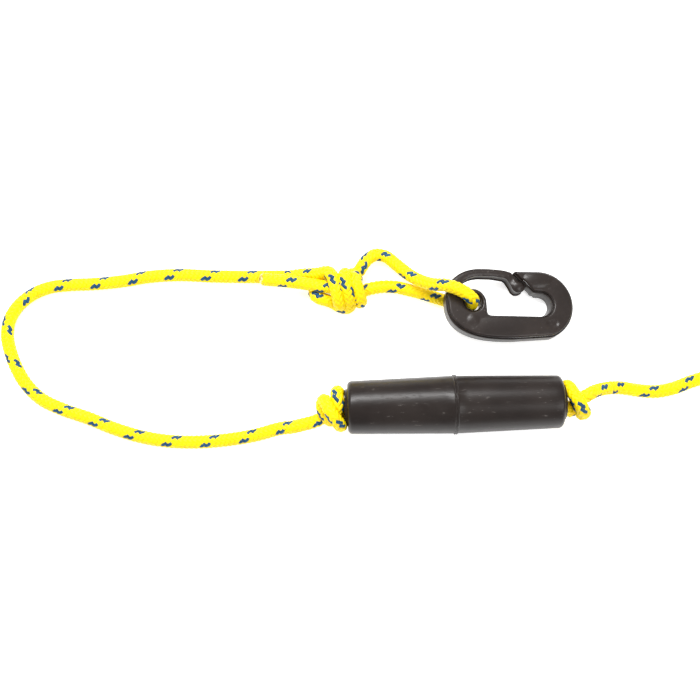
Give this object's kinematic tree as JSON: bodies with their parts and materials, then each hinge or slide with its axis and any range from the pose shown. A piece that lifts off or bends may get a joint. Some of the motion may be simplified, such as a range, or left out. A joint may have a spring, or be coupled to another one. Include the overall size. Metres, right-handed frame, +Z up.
{
  "type": "floating tow line with snap hook",
  "caption": "Braided rope with a moulded plastic snap hook tied to one end and a hollow plastic hand float held between stopper knots, for towing or tethering on water.",
  "frame": {"origin": "on the surface the line lies on, under the middle of the box around the snap hook and the hand float", "axes": "+X along the hand float's axis, from the hook's rope towards the run-out; +Y from the float towards the hook; +Z up from the surface"},
  "size_m": [0.4781, 0.1121, 0.0319],
  "materials": {
    "hook_plastic": "moulded nylon, satin",
    "float_plastic": "blow-smooth polyethylene, semi-gloss, lightly scuffed",
    "rope_yellow": "braided polypropylene with a blue tracer",
    "melted_end": "melted rope end",
    "tie_strap": "woven hook-and-loop strap"
  },
  "bodies": {
    "rope": {"loop_legs": "rope_yellow", "hook_knot": "rope_yellow", "rope_tail": "rope_yellow", "tail_seal": "melted_end", "rope_leader": "rope_yellow", "stopper_knot_left": "rope_yellow", "rope_core": "rope_yellow", "stopper_knot_right": "rope_yellow", "rope_runout": "rope_yellow", "rope_coil": "rope_yellow", "coil_tie": "tie_strap", "rope_end": "rope_yellow", "end_knot": "rope_yellow", "end_seal": "melted_end"},
    "hook": {"hook_body": "hook_plastic", "rope_bight": "rope_yellow"},
    "gate": {"hook_gate": "hook_plastic"},
    "float": {"float_cup_left": "float_plastic", "float_cup_right": "float_plastic", "weld_bead": "float_plastic"}
  },
  "joints": [
    {"name": "hook_swing", "type": "hinge", "parent": "rope", "child": "hook", "pos_m": [-0.01253, 0.0353, 0.0095], "axis": [0, -1, 0], "range_deg": [0, 80], "deforming": ["loop_legs"]},
    {"name": "gate_flex", "type": "hinge", "parent": "hook", "child": "gate", "pos_m": [-0.0018, 0.0365, 0.0125], "axis": [-0.1219, 0, -0.9925], "range_deg": [0, 17], "stiffness_Nm_per_rad": 0.5},
    {"name": "float_spin", "type": "hinge", "parent": "rope", "child": "float", "pos_m": [-0.00453, -0.0292, 0.01595], "axis": [1, 0, 0], "continuous": true}
  ]
}
